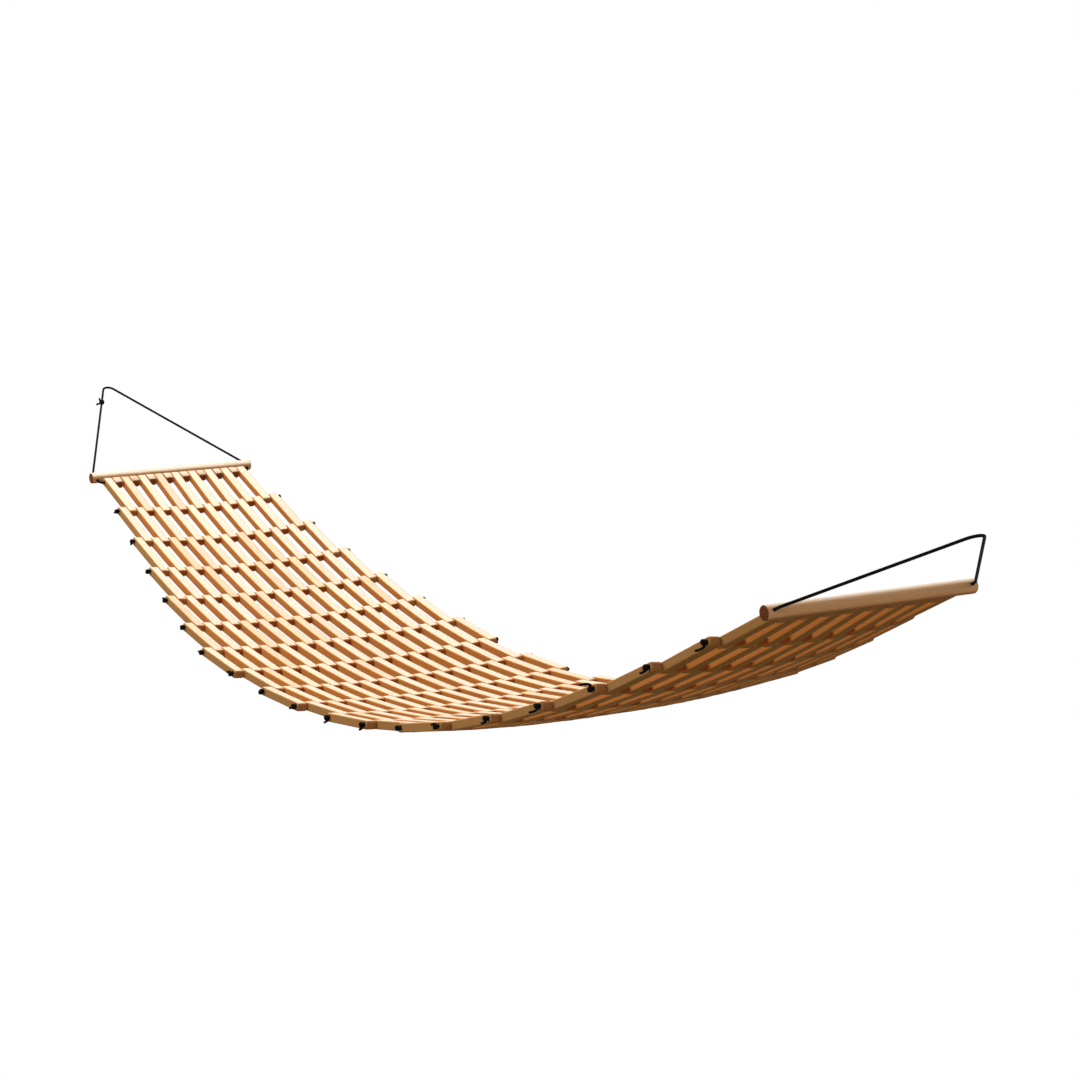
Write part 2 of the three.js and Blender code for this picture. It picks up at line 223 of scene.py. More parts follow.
def planed_wood(name, tones, ring_mm, upper_hex, side_hex, under_hex, end_hex, light_and_bleach, side_shade_and_oil,
                light_and_bleach_from=0.86, light_and_bleach_all=1.0):
    material, tree = new_material(name)
    place = add(tree, "ShaderNodeAttribute", attribute_name="board_place").outputs["Vector"]
    way = add(tree, "ShaderNodeAttribute", attribute_name="board_way").outputs["Vector"]
    tone = add(tree, "ShaderNodeAttribute", attribute_name="board_tone").outputs["Fac"]
    outside = add(tree, "ShaderNodeAttribute", attribute_name="board_outside").outputs["Fac"]

    # Each board is cut from its own place in the log, up to 60 mm from the pith each way. A wave
    # texture of scale 1 has a ring every 2 pi / 20 m.
    chance = add(tree, "ShaderNodeTexWhiteNoise", {"W": tone}, noise_dimensions="1D")
    from_pith = add(tree, "ShaderNodeVectorMath", {0: chance.outputs["Color"], 1: (0, 0.5, 0.5)},
                    operation="SUBTRACT")
    cut = add(tree, "ShaderNodeVectorMath", {0: from_pith.outputs[0], 1: (3.0, 0.12, 0.12),
                                             2: place}, operation="MULTIPLY_ADD").outputs[0]
    slow = add(tree, "ShaderNodeVectorMath", {0: cut, 1: (0.06, 1, 1)},
               operation="MULTIPLY").outputs[0]
    rings = add(tree, "ShaderNodeTexWave",
                {"Vector": slow, "Scale": 2 * math.pi / 20 / (ring_mm * MM), "Distortion": 1.6,
                 "Detail": 2.0, "Detail Scale": 0.6},
                wave_type="RINGS", rings_direction="X", wave_profile="SAW").outputs["Fac"]
    latewood = add(tree, "ShaderNodeMath", {0: rings, 1: 2.6}, operation="POWER").outputs[0]
    streaks = add(tree, "ShaderNodeTexNoise", {"Vector": slow, "Scale": 260, "Detail": 3.0,
                                               "Roughness": 0.6}).outputs["Fac"]
    fibres = add(tree, "ShaderNodeTexNoise", {"Vector": slow, "Scale": 1500, "Detail": 2.0,
                                              "Roughness": 0.7}).outputs["Fac"]

    ramp = add(tree, "ShaderNodeValToRGB", {"Fac": tone})
    stops = ramp.color_ramp.elements  # a new ramp has two
    for i, hex_colour in enumerate(tones):
        at = i / (len(tones) - 1)
        stop = stops[i] if i < 2 else stops.new(at)
        stop.position, stop.color = at, linear(hex_colour)

    def spread(value, low, high, to_low=0.0, to_high=1.0):
        return add(tree, "ShaderNodeMapRange", {0: value, 1: low, 2: high, 3: to_low, 4: to_high},
                   interpolation_type="SMOOTHSTEP").outputs[0]

    parts = add(tree, "ShaderNodeSeparateXYZ", {0: way})
    on_end = add(tree, "ShaderNodeMath", {0: parts.outputs["X"]}, operation="ABSOLUTE").outputs[0]
    on_side = add(tree, "ShaderNodeMath", {0: parts.outputs["Y"]}, operation="ABSOLUTE").outputs[0]

    colour = mixed(tree, spread(latewood, 0.1, 0.9, 0.0, 0.42), ramp.outputs["Color"],
                   linear(latewood_hex))
    colour = mixed(tree, spread(streaks, 0.35, 0.75, 0.0, 0.30), colour, linear(streak_hex))
    # The sides are painted a deeper orange: the oil's colour, with painted shade and bounce between
    # the slats.
    colour = mixed(tree, spread(on_side, 0.3, 0.95, 0.0, side_shade_and_oil), colour, linear(side_hex))
    # The undersides are painted dark golden olive as painted shade, with an olive cast of bounced
    # light.
    colour = mixed(tree, spread(parts.outputs["Z"], -1.0, -0.3, 0.92, 0.0), colour,
                   linear(under_hex))
    # Faces open to the sky are painted pale: partly weather bleach, partly painted light of the
    # sky, some boards less than others.
    to_sky = spread(parts.outputs["Z"], light_and_bleach_from, light_and_bleach_all, 0.0, light_and_bleach)
    open_face = add(tree, "ShaderNodeMath", {0: to_sky, 1: spread(streaks, 0.2, 0.8, 1.0, 0.78)},
                    operation="MULTIPLY").outputs[0]
    aged = add(tree, "ShaderNodeSeparateXYZ", {0: chance.outputs["Color"]}).outputs["Y"]
    light_and_bleach_share = add(tree, "ShaderNodeMath", {0: open_face, 1: spread(aged, 0.0, 0.5, 0.62, 1.0)},
                   operation="MULTIPLY").outputs[0]
    colour = mixed(tree, light_and_bleach_share, colour, linear(upper_hex))
    # The end grain is painted deep red, as it takes up oil, and darker still as painted shade.
    colour = mixed(tree, spread(on_end, 0.3, 0.75, 0.0, 0.9), colour, linear(end_hex))
    # The outermost faces are mixed towards a greyer tan; on the outer ends this is painted light
    # beside the shaded inner ends.
    colour = mixed(tree, outside, colour, linear(outer_tan_hex))
    colour = mixed(tree, spread(fibres, 0.3, 0.8, 0.0, 0.16), colour, linear(fibre_hex))

    # Oiled softwood has IOR 1.5. The weather has taken most of its gloss: roughness is 0.6 to 0.8
    # and the specular level is low, so that no white sheen lies over the sides.
    relief = add(tree, "ShaderNodeMath", {0: fibres, 1: 0.5, 2: latewood},
                 operation="MULTIPLY_ADD").outputs[0]
    bump = add(tree, "ShaderNodeBump", {"Strength": 0.2, "Distance": 0.12 * MM, "Height": relief})
    shader = add(tree, "ShaderNodeBsdfPrincipled",
                 {"Base Color": colour, "Roughness": spread(fibres, 0.2, 0.8, 0.6, 0.8),
                  "IOR": 1.5, "Specular IOR Level": 0.03, "Normal": bump.outputs[0]})
    add(tree, "ShaderNodeOutputMaterial", {"Surface": shader.outputs[0]})
    return material


slat_pine = planed_wood(
    "planed_pine_oiled", ["#ecc67c", "#e6b870", "#e0ae68", "#e6b67c", "#ecca8e"], ring_mm=3.2,
    upper_hex="#f7f0e2", side_hex="#da8d4b", under_hex="#745009", end_hex="#923f17",
    light_and_bleach=0.92, side_shade_and_oil=0.88)
block_pine = planed_wood(
    "planed_pine_offcut", ["#e4ba84", "#dcac74", "#e8c494"], ring_mm=3.2,
    upper_hex="#f8efe0", side_hex="#b8662c", under_hex="#7b4e0a", end_hex="#75320f",
    light_and_bleach=0.94, side_shade_and_oil=0.88)
# The two poles get a lit and a shaded copy of the wood: the left pole's upper half is painted pale
# as painted light, and the right one stays tan as painted shade, pale only on its top.
lit_and_shaded_pole_woods = {}
for side, light_and_bleach_from, light_and_bleach_all in (("left", 0.1, 0.6), ("right", 0.62, 1.0)):
    lit_and_shaded_pole_woods[side] = planed_wood(
        f"turned_pole_oiled_{side}", ["#e2bb94", "#deb48e"], ring_mm=4.0,
        upper_hex="#fbf3e6", side_hex="#dba070", under_hex="#7d4a1c", end_hex="#6b3216",
        light_and_bleach=0.96, side_shade_and_oil=0.5, light_and_bleach_from=light_and_bleach_from, light_and_bleach_all=light_and_bleach_all)
print("wood materials:", slat_pine.name, block_pine.name, [w.name for w in lit_and_shaded_pole_woods.values()])

# %% [markdown]
# ## Black braided cord
#
# The ropes are 6 mm braided polyester, and the cross cords 5 mm. Two sets of strands cross at a
# slant, so a sleeve of small diamonds shows. The pattern lies on the tube's own coordinates: U is
# metres along the rope, V is turns round it. It has 8 strands each way, each one half a wave
# wide, and each strand goes round once in 24 mm.

# %% The cord material
def braided_cord(name, dark_hex, light_hex, strands=8, lay_mm=24):
    material, tree = new_material(name)
    uv = add(tree, "ShaderNodeUVMap", uv_map="rope")
    parts = add(tree, "ShaderNodeSeparateXYZ", {0: uv.outputs[0]})
    waves = []
    for hand in (1, -1):
        along = add(tree, "ShaderNodeMath", {0: parts.outputs["X"], 1: hand / (lay_mm * MM),
                                             2: parts.outputs["Y"]}, operation="MULTIPLY_ADD")
        turn = add(tree, "ShaderNodeMath", {0: along.outputs[0], 1: 2 * math.pi * strands / 2},
                   operation="MULTIPLY")
        waves.append(add(tree, "ShaderNodeMath", {0: turn.outputs[0]}, operation="SINE").outputs[0])
    weave = add(tree, "ShaderNodeMath", {0: waves[0], 1: waves[1]}, operation="MULTIPLY").outputs[0]
    height = add(tree, "ShaderNodeMapRange", {0: weave, 1: -1.0, 2: 1.0}).outputs[0]
    fuzz = add(tree, "ShaderNodeTexNoise", {"Vector": uv.outputs[0], "Scale": 90, "Detail": 3.0})
    colour = mixed(tree, height, linear(dark_hex), linear(light_hex))
    relief = add(tree, "ShaderNodeMath", {0: fuzz.outputs[0], 1: 0.3, 2: height},
                 operation="MULTIPLY_ADD").outputs[0]
    bump = add(tree, "ShaderNodeBump", {"Strength": 0.6, "Distance": 0.5 * MM, "Height": relief})
    rough = add(tree, "ShaderNodeMapRange", {0: fuzz.outputs[0], 3: 0.68, 4: 0.9}).outputs[0]
    shader = add(tree, "ShaderNodeBsdfPrincipled",
                 {"Base Color": colour, "Roughness": rough, "IOR": 1.5,
                  "Specular IOR Level": 0.06, "Normal": bump.outputs[0]})
    add(tree, "ShaderNodeOutputMaterial", {"Surface": shader.outputs[0]})
    return material


black_cord = braided_cord("braided_polyester_black", "#050404", "#141110")
print("cord material:", black_cord.name)

# %% [markdown]
# ## Tubes for ropes and cords
#
# A rope could be a curve with a round bevel, but a mesh tube carries its own rope coordinates.
# Rings are laid along the path, each turned as little as possible against the last, so that the
# braid doesn't twist on its own. The ends are closed with a small dome, as a melted end has.

# %% A tube along a path
def tube(name, path, radius, sides=12, dome=True):
    """A round tube along a path, with its rope coordinates in the layer "rope"."""
    points = [Vector(p) for p in path]
    count = len(points)
    ways = [(points[min(i + 1, count - 1)] - points[max(i - 1, 0)]).normalized()
            for i in range(count)]
    start_side = Vector((0, 0, 1)) if abs(ways[0].z) < 0.9 else Vector((1, 0, 0))
    side = (start_side - ways[0] * start_side.dot(ways[0])).normalized()
    rings, gone = [], 0.0
    for i, (point, way) in enumerate(zip(points, ways)):
        side = (side - way * side.dot(way)).normalized()
        if i:
            gone += (point - points[i - 1]).length
        rings.append((point, way, side.copy(), radius, gone))
    if dome:
        for end, sign in ((0, -1), (-1, 1)):
            point, way, side, _, gone = rings[end]
            cap = [(point + sign * way * radius * 0.5 * out, way, side, radius * size, gone)
                   for out, size in ((0.6, 0.8), (1.0, 0.35))]
            rings = cap[::-1] + rings if end == 0 else rings + cap
    mesh = bpy.data.meshes.new(name)
    build = bmesh.new()
    layer = build.loops.layers.uv.new("rope")
    loops = []
    for point, way, side, size, gone in rings:
        across = way.cross(side)
        loops.append([build.verts.new(point + size * (side * math.cos(2 * math.pi * j / sides)
                                                      + across * math.sin(2 * math.pi * j / sides)))
                      for j in range(sides)])
    for i in range(len(loops) - 1):
        for j in range(sides):
            k = (j + 1) % sides
            face = build.faces.new((loops[i][j], loops[i][k], loops[i + 1][k], loops[i + 1][j]))
            face.smooth = True
            places = ((i, j), (i, j + 1), (i + 1, j + 1), (i + 1, j))
            for loop, (ring, turn) in zip(face.loops, places):
                loop[layer].uv = (rings[ring][4], turn / sides)
    build.faces.new(loops[0][::-1])
    build.faces.new(loops[-1])
    build.to_mesh(mesh)
    build.free()
    piece = bpy.data.objects.new(name, mesh)
    bpy.context.scene.collection.objects.link(piece)
    return piece


def rounded_path(points, step):
    """A smooth path through the points, in steps of about the given length."""
    points = [Vector(p) for p in points]
    padded = [2 * points[0] - points[1]] + points + [2 * points[-1] - points[-2]]
    path = [points[0]]
    for a, b, c, d in zip(padded, padded[1:], padded[2:], padded[3:]):
        steps = max(1, round((c - b).length / step))
        for i in range(1, steps + 1):
            t = i / steps
            path.append(0.5 * (2 * b + (c - a) * t + (2 * a - 5 * b + 4 * c - d) * t * t
                               + (3 * b - a - 3 * c + d) * t ** 3))
    return path


print("tube and path helpers ready")

# %% [markdown]
# ## Suspension ropes
#
# Each end hangs by one loop of rope. Its free part leaves the pole's hole, bends inwards,
# runs straight to the hook, round it and back in the same way. The route below is the one that
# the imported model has, leg by leg and bend by bend: it lies in the plane from the end row's
# turning line to the hook. The end slats swing past the pole with a small gap, which sets how
# far the pole lies from that line.

# %% The rope routes
rope_radius, pole_radius = 3 * MM, 14 * MM
held_turn, mouth_bend = 12 * MM, 25 * MM  # how the rope bends inside and outside its pole hole
rope_sizes = {"left": (454 * MM, 16 * MM), "right": (290 * MM, 26 * MM)}  # hook reach, bight radius
slat_chamfer = 5 * MM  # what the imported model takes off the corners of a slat's end
pole_gap, run_gap, mouth_run = 0.8 * MM, 0.9 * MM, 1.5 * MM
slat_swing = max(math.hypot(slat_end, slat_thickness / 2 - slat_chamfer),
                 math.hypot(slat_end - slat_chamfer, slat_thickness / 2))
pole_offset = slat_swing + pole_gap + pole_radius
run_half = columns(slats_in_row(1))[-1] + slat_width / 2 + run_gap
hole_y = run_half + held_turn
mouth_x, mouth_y = pole_offset + pole_radius + mouth_run, hole_y - mouth_bend
half_seam = 0.15 * MM  # the free and the held part of a loop meet with this gap on each side
rope_slope = math.atan2(-cord_places[0].z, cord_places[0].x)


def arc(centre, radius, start, end, steps):
    """Points on an arc in a hanger's own plane."""
    return [(centre[0] + radius * math.cos(start + (end - start) * i / steps),
             centre[1] + radius * math.sin(start + (end - start) * i / steps), 0)
            for i in range(steps + 1)]


def straight(a, b, steps):
    """Points between two others, without these."""
    a, b = Vector(a), Vector(b)
    return [a.lerp(b, i / steps) for i in range(1, steps)]


def rope_route(hook_reach, bight_radius):
    """The free part of a loop in its own plane, how its legs lean, and its hook's X there."""
    hook_x = pole_offset + hook_reach
    narrowing = math.asin((mouth_bend - bight_radius) / math.hypot(hook_x - mouth_x, mouth_y))
    lean = math.atan2(mouth_y, hook_x - mouth_x) + narrowing
    on_leg = math.pi / 2 - lean
    out = arc((mouth_x, mouth_y), mouth_bend, math.pi / 2, on_leg, 3)
    bight = arc((hook_x, 0), bight_radius, on_leg, -on_leg, 9)
    home = arc((mouth_x, -mouth_y), mouth_bend, -on_leg, -math.pi / 2, 3)
    start = (pole_offset + half_seam, hole_y, 0)
    end = (pole_offset + half_seam, -hole_y, 0)
    route = ([start] + out + straight(out[-1], bight[0], 6) + bight
             + straight(bight[-1], home[0], 6) + home + [end])
    return [Vector(p) for p in route], lean, hook_x


hanger_frames = {}
for side, place, hook_way in (("left", cord_places[0], -1), ("right", cord_places[-1], 1)):
    to_hook = Vector((hook_way * math.cos(rope_slope), 0, math.sin(rope_slope)))
    hanger_frames[side] = frame_at(place, to_hook)
print("rope slope", round(math.degrees(rope_slope), 3), "pole offset", round(pole_offset / MM, 3))

# %% Make the two free ropes
ropes = {}
for side, (reach, bight_radius) in rope_sizes.items():
    route, lean, hook_x = rope_route(reach, bight_radius)
    placed = [hanger_frames[side] @ p for p in route]
    length = sum((b - a).length for a, b in zip(placed, placed[1:]))
    rope = tube(f"{side}_rope_braid", placed, rope_radius, sides=14, dome=False)
    rope.data.materials.append(black_cord)
    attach(rope, f"{side}_hanger")
    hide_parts(f"{side}_rope")
    ropes[side] = (rope, placed, length, lean, hook_x)
    print(rope.name, len(placed), "points,", round(length, 4), "m")

# %% [markdown]
# ### The held part of each loop
#
# Between its two pole holes the same rope turns into the end row, and threads all its slats
# and blocks. Only the two short turns beside the outer slats show.

# %% Make the held runs
start = (pole_offset - half_seam, hole_y, 0)
end = (pole_offset - half_seam, -hole_y, 0)
route = ([start] + arc((held_turn, run_half), held_turn, math.pi / 2, math.pi, 6)
         + straight((0, run_half, 0), (0, -run_half, 0), 24)
         + arc((held_turn, -run_half), held_turn, -math.pi, -math.pi / 2, 6) + [end])
for side in ("left", "right"):
    run = tube(f"{side}_rope_run_braid", [hanger_frames[side] @ Vector(p) for p in route],
               rope_radius, sides=12, dome=False)
    run.data.materials.append(black_cord)
    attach(run, f"{side}_hanger")
    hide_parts(f"{side}_rope_run")
    print(run.name, len(run.data.vertices), "vertices")

# %% [markdown]
# ## Stopper knots
#
# A cord is held by a knot on each outer side. Tied tight it is two turns of the cord round
# itself, with a short tail. The path runs out of the hole, turns back, winds almost twice round
# its own standing part, and leaves as the tail. The near tails hang free. Those of the far side
# lie along the row that carries the cord, and their knots are pulled tighter, so that they
# hardly show. Each cord goes with one of its two rows, and has play in the other one's holes.

# %% The path of one knot
knot_reach, knot_turn_radius, knot_cord_radius = 8.4 * MM, 3.9 * MM, 2.5 * MM
knot_turns, knot_steps, tail_steps = 1.9, 22, 4


def knot_path(outwards, tail_way, tail_length, turn_start, hand, tight):
    """From the slat's face outwards, in a frame with its origin on that face."""
    reach, turn_radius = knot_reach * tight, knot_turn_radius * tight
    outwards, tail_way = Vector(outwards).normalized(), Vector(tail_way).normalized()
    first = outwards.orthogonal().normalized()
    second = outwards.cross(first) * hand
    path = [outwards * (reach * 0.3), outwards * (reach * 0.75)]
    for i in range(knot_steps + 1):
        t = i / knot_steps
        angle = turn_start + 2 * math.pi * knot_turns * t
        size = turn_radius * min(1.0, 0.25 + 3.5 * t)
        rise = reach * (0.98 + 0.10 * math.sin(min(1.0, 4 * t) * math.pi / 2) - 0.80 * t)
        path.append(outwards * rise + size * (first * math.cos(angle) + second * math.sin(angle)))
    last = path[-1]
    leave = (path[-1] - path[-2]).normalized()
    for i in range(1, tail_steps + 1):
        t = i / tail_steps
        way = (leave * (1 - t) + tail_way * (0.4 + t)).normalized()
        last = last + way * tail_length / tail_steps
        path.append(last.copy())
    return path


print("knot path of", len(knot_path((0, 1, 0), (0, 0, -1), 0.02, 0, 1, 1)), "points")

# %% Knot the cross cords
chance = random.Random(7)
knot_gap = 1.2 * MM
near_tails_mm, long_tails_mm, far_tails_mm, last_short_tail = (7, 13), (22, 30), (6, 9), 14
middle_row, far_tightness, half_steps = (row_count + 1) // 2, 0.8, 14
for cord_number in range(1, row_count):
    carrier = cord_number + 1 if cord_number < middle_row else cord_number
    outer = outer_column(cord_number)
    ends = []
    for side in (-1, 1):
        near = side < 0
        if near:
            tail_way = Vector((-0.8, -0.4 - 0.4 * chance.random(), -0.1 - 0.4 * chance.random()))
            tails_mm = long_tails_mm if cord_number > last_short_tail else near_tails_mm
            tail = chance.uniform(*tails_mm) * MM
        else:
            row_way = row_frames[carrier].col[0].xyz * (1 if carrier > cord_number else -1)
            tail_way = row_way + Vector((0, 0.15, 0))
            tail = chance.uniform(*far_tails_mm) * MM
        place, way = cord_at(cord_number, side * outer)
        outwards = side * way
        knot = knot_path(outwards, tail_way, tail, chance.random() * 6.28, chance.choice((-1, 1)),
                         1 if near else far_tightness)
        ends.append([place + outwards * (slat_width / 2 + knot_gap) + p for p in knot])
    middle = [cord_at(cord_number, outer * i / half_steps)[0]
              for i in range(-half_steps, half_steps + 1)]
    smooth = rounded_path(ends[0][::-1], 1.2 * MM) + middle + rounded_path(ends[1], 1.2 * MM)
    cord = tube(f"cross_cord_{cord_number:02d}", smooth, knot_cord_radius, sides=10)
    cord.data.materials.append(black_cord)
    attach(cord, f"row_{carrier:02d}")
print(row_count - 1, "cross cords with", 2 * (row_count - 1), "knots")

# %% [markdown]
# ## One slat
#
# A slat is a batten with the corners of both ends rounded over and a hole across each end. A
# side view of it, drawn as a flat curve with its two holes, gets its width by extrusion and its
# eased edges by the curve's bevel. That rounds the rims of the holes as well, as a countersink
# does, which a bevel on a finished box would do far less evenly.

# %% Boards from a side view
edge_round, corner_round = 2.1 * MM, 6.4 * MM
corner_steps, hole_sides = 6, 14


def board(name, start, end, holes, square_end=None):
    """A board along X with rounded corners, and holes (x, radius) across it along Y."""
    half = slat_thickness / 2
    outline = []
    for x, z, turn in ((end, -half, -90), (end, half, 0), (start, half, 90), (start, -half, 180)):
        if (square_end == "end" and x == end) or (square_end == "start" and x == start):
            outline.append((x, z))
            continue
        centre_x = x - corner_round if x == end else x + corner_round
        centre_z = z - math.copysign(corner_round, z)
        for i in range(corner_steps + 1):
            angle = math.radians(turn + 90 * i / corner_steps)
            outline.append((centre_x + corner_round * math.cos(angle),
                            centre_z + corner_round * math.sin(angle)))
    loops = [outline]
    for x, radius in holes:
        angles = [-2 * math.pi * i / hole_sides for i in range(hole_sides)]
        loops.append([(x + radius * math.cos(angle), radius * math.sin(angle))
                      for angle in angles])
    curve = bpy.data.curves.new(name, "CURVE")
    curve.dimensions, curve.fill_mode = "2D", "BOTH"
    curve.extrude = slat_width / 2 - edge_round
    curve.bevel_depth, curve.bevel_resolution, curve.offset = edge_round, 1, -edge_round
    for loop in loops:
        spline = curve.splines.new("POLY")
        spline.points.add(len(loop) - 1)
        for point, (x, z) in zip(spline.points, loop):
            point.co = (x, z, 0, 1)
        spline.use_cyclic_u = True
    holder = bpy.data.objects.new(name, curve)
    bpy.context.scene.collection.objects.link(holder)
    bpy.context.view_layer.update()
    shape = bpy.data.meshes.new_from_object(
        holder.evaluated_get(bpy.context.evaluated_depsgraph_get()))
    bpy.data.objects.remove(holder)
    bpy.data.curves.remove(curve)
    build = bmesh.new()
    build.from_mesh(shape)
    bmesh.ops.remove_doubles(build, verts=build.verts, dist=1e-6)
    bmesh.ops.recalc_face_normals(build, faces=build.faces)
    bmesh.ops.transform(build, matrix=Matrix.Rotation(math.pi / 2, 4, "X"), verts=build.verts)
    build.to_mesh(shape)
    build.free()
    for face in shape.polygons:
        face.use_smooth = True
    shape.name = name
    return shape


cord_hole, rope_hole = 4.6 * MM, 4.1 * MM
slat_shape = board("slat", -slat_end, cord_spacing + slat_end,
                   [(0, cord_hole), (cord_spacing, cord_hole)])
print("one slat:", len(slat_shape.vertices), "vertices,",
      [round((max(c) - min(c)) / MM, 2) for c in zip(*(v.co for v in slat_shape.vertices))], "mm")

# %% [markdown]
# ## Laying boards out
#
# The rows are too many for hand placing, and an array modifier couldn't give each board its own
# tone. So a small function copies the board's mesh to each place in a row, with a hair of play as
# on the real one, and writes down the facts that the wood needs. The way and the outer share are
# kept for each corner of each face, so that a sharp edge stays sharp in colour as well.

# %% How a board's faces look and how far out they lie
def facing(vertex):
    """The way a board's surface faces at a vertex: square to a flat face all over it."""
    x, y, z = vertex.co
    if abs(slat_thickness / 2 - abs(z)) < 0.01 * MM:
        return 0.0, 0.0, math.copysign(1.0, z)
    if abs(slat_width / 2 - abs(y)) < 0.01 * MM:
        return 0.0, math.copysign(1.0, y), 0.0
    return tuple(vertex.normal)


def corner_ways(shape, square):
    """A way for each corner of each face; a square board's flat faces have one all over."""
    ways = []
    for face in shape.polygons:
        corners = [shape.vertices[i] for i in face.vertices]
        if not square:
            ways += [tuple(vertex.normal) for vertex in corners]
        elif max(map(abs, face.normal)) > 0.99:
            ways += [[round(c) for c in face.normal]] * len(corners)
        else:
            ways += [facing(vertex) for vertex in corners]
    return ways


def outside_share(way, outer_side, outer_end):
    """How far a corner is mixed to the outer tan: 0.8 on an outer side, 0.5 on an end beside it or
    outside.
    """
    return max(0.0, 0.8 * way[1] * outer_side, 0.5 * abs(way[0] * outer_side),
               0.5 * way[0] * outer_end)


print("a slat has", len(corner_ways(slat_shape, True)), "face corners")


# %% Copy boards into a piece
def lay_boards(name, shape, places, square=True):
    """One mesh of boards. Each place is (matrix, tone, outer side, outer end).

    An outer side is -1 or 1 where that side of the board is outside, and 0 elsewhere, and so is
    an outer end. A board that isn't square, such as a dowel, has its own normals as ways.
    """
    shape_ways = corner_ways(shape, square)
    verts, faces, board_place, board_way, board_tone, outside = [], [], [], [], [], []
    for matrix, tone, outer_side, outer_end in places:
        first = len(verts)
        for v in shape.vertices:
            verts.append(matrix @ v.co)
            board_place.append(v.co[:])
            board_tone.append(tone)
        board_way += shape_ways
        outside += [outside_share(way, outer_side, outer_end) for way in shape_ways]
        faces += [[first + i for i in face.vertices] for face in shape.polygons]
    mesh = bpy.data.meshes.new(name)
    mesh.from_pydata(verts, [], faces)
    for face in mesh.polygons:
        face.use_smooth = True
    for label, values, domain in (("board_place", board_place, "POINT"),
                                  ("board_way", board_way, "CORNER")):
        layer = mesh.attributes.new(label, "FLOAT_VECTOR", domain)
        layer.data.foreach_set("vector", [c for value in values for c in value])
    mesh.attributes.new("board_tone", "FLOAT", "POINT").data.foreach_set("value", board_tone)
    mesh.attributes.new("board_outside", "FLOAT", "CORNER").data.foreach_set("value", outside)
    piece = bpy.data.objects.new(name, mesh)
    bpy.context.scene.collection.objects.link(piece)
    steady = piece.modifiers.new("flat faces stay flat", "WEIGHTED_NORMAL")
    steady.keep_sharp = True
    return piece


def with_play(chance):
    """A small shift and tilt, well within the gap beside a slat and the play in its holes."""
    shift = Matrix.Translation((chance.uniform(-0.4, 0.4) * MM, chance.uniform(-0.3, 0.3) * MM,
                                chance.uniform(-0.3, 0.3) * MM))
    tilt = (Matrix.Rotation(math.radians(chance.uniform(-0.12, 0.12)), 4, "Z")
            @ Matrix.Rotation(math.radians(chance.uniform(-1.2, 1.2)), 4, "X"))
    middle = Matrix.Translation((cord_spacing / 2, 0, 0))
    return middle @ shift @ tilt @ middle.inverted()


def which_side(row, y):
    """-1 or 1 for the outermost slat on each side of a row, else 0."""
    outermost = columns(slats_in_row(row))[-1]
    return round(y / outermost) if abs(y) > outermost - 1 * MM else 0


print("outer slats of row 10:", [y for y in columns(slats_in_row(10)) if which_side(10, y)])

# %% [markdown]
# ### The rows between the end rows
#
# A row's slats sit at every second column, so that the next row's fit between them.

# %% The seventeen fused rows
for row in range(2, row_count):
    chance = random.Random(100 + row)
    places = [(slat_frame(row, y) @ with_play(chance), chance.random(), which_side(row, y), 0)
              for y in columns(slats_in_row(row))]
    piece = lay_boards(f"row_{row:02d}_slats", slat_shape, places)
    piece.data.materials.append(slat_pine)
    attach(piece, f"row_{row:02d}")
    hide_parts(f"row_{row:02d}")
print("rows 2 to", row_count - 1, "laid,", len(slat_shape.polygons), "faces in a slat")

# %% [markdown]
# ## The end rows and their blocks
#
# The end rows are threaded on the rope itself, loose, so each slat and each block stays a piece
# of its own. A block is an offcut: its end beside the pole is rounded as a slat's is, and the
# other end is sawn square. The rope runs straight there, so the blocks lie level with it.

# %% Slats and blocks at the poles
block_length = 17 * MM  # from the rope to the sawn end
for side, row, rope_x in (("left", 1, 0.0), ("right", row_count, cord_spacing)):
    chance = random.Random(500 + row)
    other_x = cord_spacing - rope_x
    pole_way = -1 if side == "left" else 1
    end_slat = board(f"{side}_end_slat", -slat_end, cord_spacing + slat_end,
                     [(rope_x, rope_hole), (other_x, cord_hole)])
    for i, y in enumerate(columns(slats_in_row(row)), 1):
        piece = lay_boards(f"{side}_slat_{i}_board", end_slat,
                           [(slat_frame(row, y), chance.random(), which_side(row, y), pole_way)])
        piece.data.materials.append(slat_pine)
        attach(piece, f"row_{row:02d}")
        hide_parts(f"{side}_slat_{i}")
    if side == "left":
        block_shape = board("left_block", -slat_end, block_length, [(0, rope_hole)], "end")
    else:
        block_shape = board("right_block", cord_spacing - block_length, cord_spacing + slat_end,
                            [(cord_spacing, rope_hole)], "start")
    for i, y in enumerate(columns(slats_in_row(row) - 1), 1):
        piece = lay_boards(f"{side}_block_{i}_board", block_shape,
                           [(row_frames[row] @ Matrix.Translation((0, y, 0)), chance.random(), 0,
                             pole_way)])
        piece.data.materials.append(block_pine)
        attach(piece, f"{side}_hanger")
        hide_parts(f"{side}_block_{i}")
    print(side, "end row:", slats_in_row(row), "slats and", slats_in_row(row) - 1, "blocks")

# %% [markdown]
# ## Poles
#
# Each pole is a turned dowel with a hole for the rope near each end. The dowel is a profile spun
# round its axis, and the holes are cut by a boolean with a round cutter. The boolean lists its
# points and faces in another order each run, so they are sorted by place. The grain runs along the
# dowel, so its own X for the wood is the world's Y. The rope has turned the pole to its own slope,
# but the pale upper faces (partly weather bleach, partly painted light) and the dark undersides
# (painted shade) follow what is up in the world, so its ways are turned back.

# %% Turn and bore a pole
pole_half, pole_bore = hole_y + 14 * MM, 3.6 * MM


